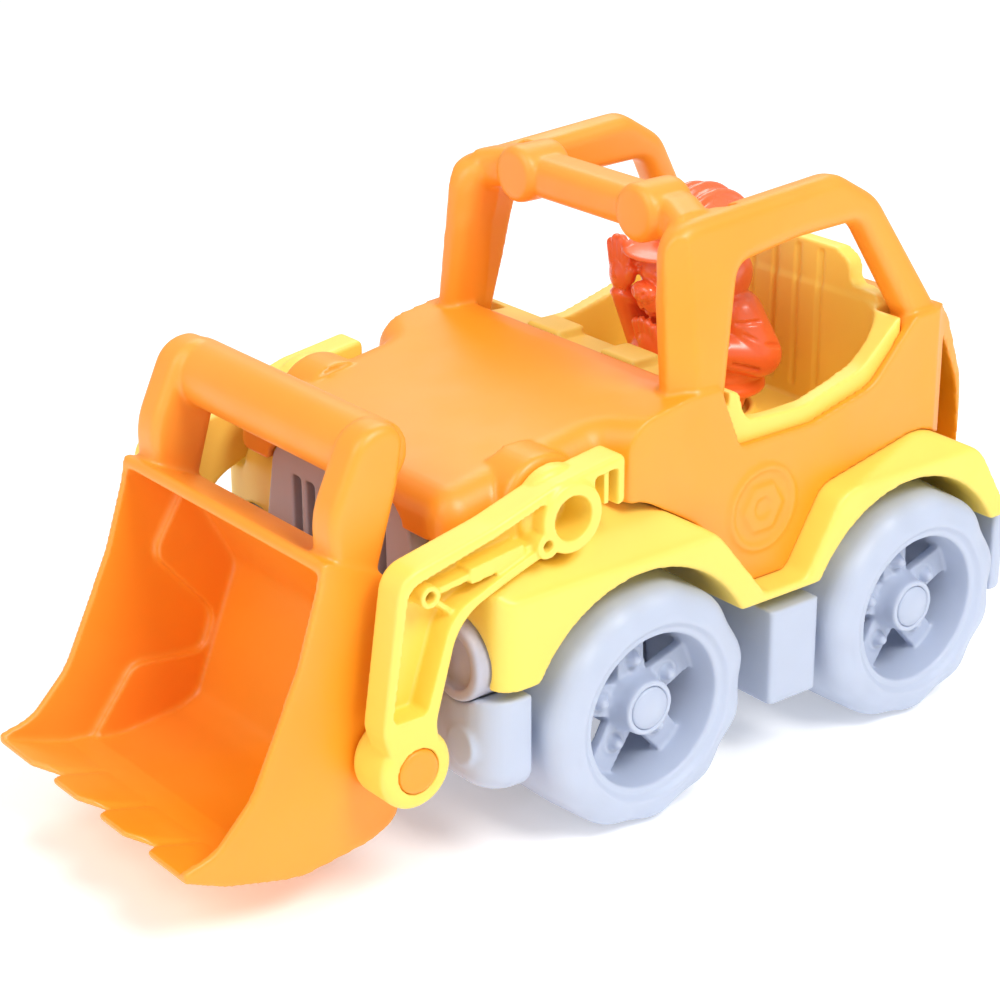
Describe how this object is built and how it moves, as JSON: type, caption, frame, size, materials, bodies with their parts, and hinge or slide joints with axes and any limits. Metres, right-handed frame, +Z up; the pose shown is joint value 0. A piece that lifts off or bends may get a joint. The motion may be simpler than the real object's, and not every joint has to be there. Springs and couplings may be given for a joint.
{
  "type": "toy front loader",
  "caption": "Moulded plastic toy loader with a tipping scoop on lifting arms, free-rolling wheels, an open cab with a roll cage and a lift-out figure.",
  "frame": {"origin": "on the ground under the middle of the whole vehicle, midway between scoop lip and rear bumper", "axes": "+Z up, -Y towards the scoop (front), +X towards the vehicle's left side; the wheels stand on z = 0"},
  "size_m": [0.14, 0.2916, 0.1687],
  "materials": {
    "grey_plastic": "satin moulded plastic",
    "axle_plastic": "satin moulded plastic",
    "wheel_plastic": "satin moulded plastic",
    "yellow_plastic": "satin moulded plastic",
    "orange_plastic": "satin moulded plastic",
    "red_vinyl": "semi-gloss soft vinyl"
  },
  "bodies": {
    "vehicle": {"chassis_pan": "grey_plastic", "grille": "grey_plastic", "headlight_left": "grey_plastic", "headlight_right": "grey_plastic", "front_axle": "axle_plastic", "rear_axle": "axle_plastic", "hub_cap_front_left": "wheel_plastic", "hub_cap_front_right": "wheel_plastic", "hub_cap_rear_left": "wheel_plastic", "hub_cap_rear_right": "wheel_plastic", "fender_frame": "yellow_plastic", "cockpit_tub": "yellow_plastic", "body_shell": "orange_plastic", "push_rivets": "orange_plastic"},
    "wheel_front_left": {"wheel_front_left": "wheel_plastic"},
    "wheel_front_right": {"wheel_front_right": "wheel_plastic"},
    "wheel_rear_left": {"wheel_rear_left": "wheel_plastic"},
    "wheel_rear_right": {"wheel_rear_right": "wheel_plastic"},
    "arm_left": {"arm_left": "yellow_plastic"},
    "arm_right": {"arm_right": "yellow_plastic"},
    "scoop": {"scoop_bucket": "orange_plastic"},
    "driver": {"driver_figure": "red_vinyl"}
  },
  "joints": [
    {"name": "arm_lift", "type": "hinge", "parent": "vehicle", "child": "arm_left", "pos_m": [0.052, -0.034, 0.0993], "axis": [-1, 0, 0], "range_deg": [-2, 15]},
    {"name": "arm_right_lift", "type": "hinge", "parent": "vehicle", "child": "arm_right", "pos_m": [-0.052, -0.034, 0.0993], "axis": [-1, 0, 0], "range_deg": [-2, 15]},
    {"name": "scoop_tilt", "type": "hinge", "parent": "arm_left", "child": "scoop", "pos_m": [0, -0.0844, 0.042], "axis": [1, 0, 0], "range_deg": [-3, 40]},
    {"name": "wheel_front_left_spin", "type": "hinge", "parent": "vehicle", "child": "wheel_front_left", "pos_m": [0.052, -0.0072, 0.036], "axis": [1, 0, 0], "continuous": true},
    {"name": "wheel_front_right_spin", "type": "hinge", "parent": "vehicle", "child": "wheel_front_right", "pos_m": [-0.052, -0.0072, 0.036], "axis": [1, 0, 0], "continuous": true},
    {"name": "wheel_rear_left_spin", "type": "hinge", "parent": "vehicle", "child": "wheel_rear_left", "pos_m": [0.052, 0.0972, 0.036], "axis": [1, 0, 0], "continuous": true},
    {"name": "wheel_rear_right_spin", "type": "hinge", "parent": "vehicle", "child": "wheel_rear_right", "pos_m": [-0.052, 0.0972, 0.036], "axis": [1, 0, 0], "continuous": true},
    {"name": "driver_lift_out", "type": "slide", "parent": "vehicle", "child": "driver", "axis": [0, 0, 1], "range_m": [0, 0.06]}
  ],
  "couplings": [
    {"joint": "arm_right_lift", "follows": "arm_lift", "ratio": 1}
  ]
}
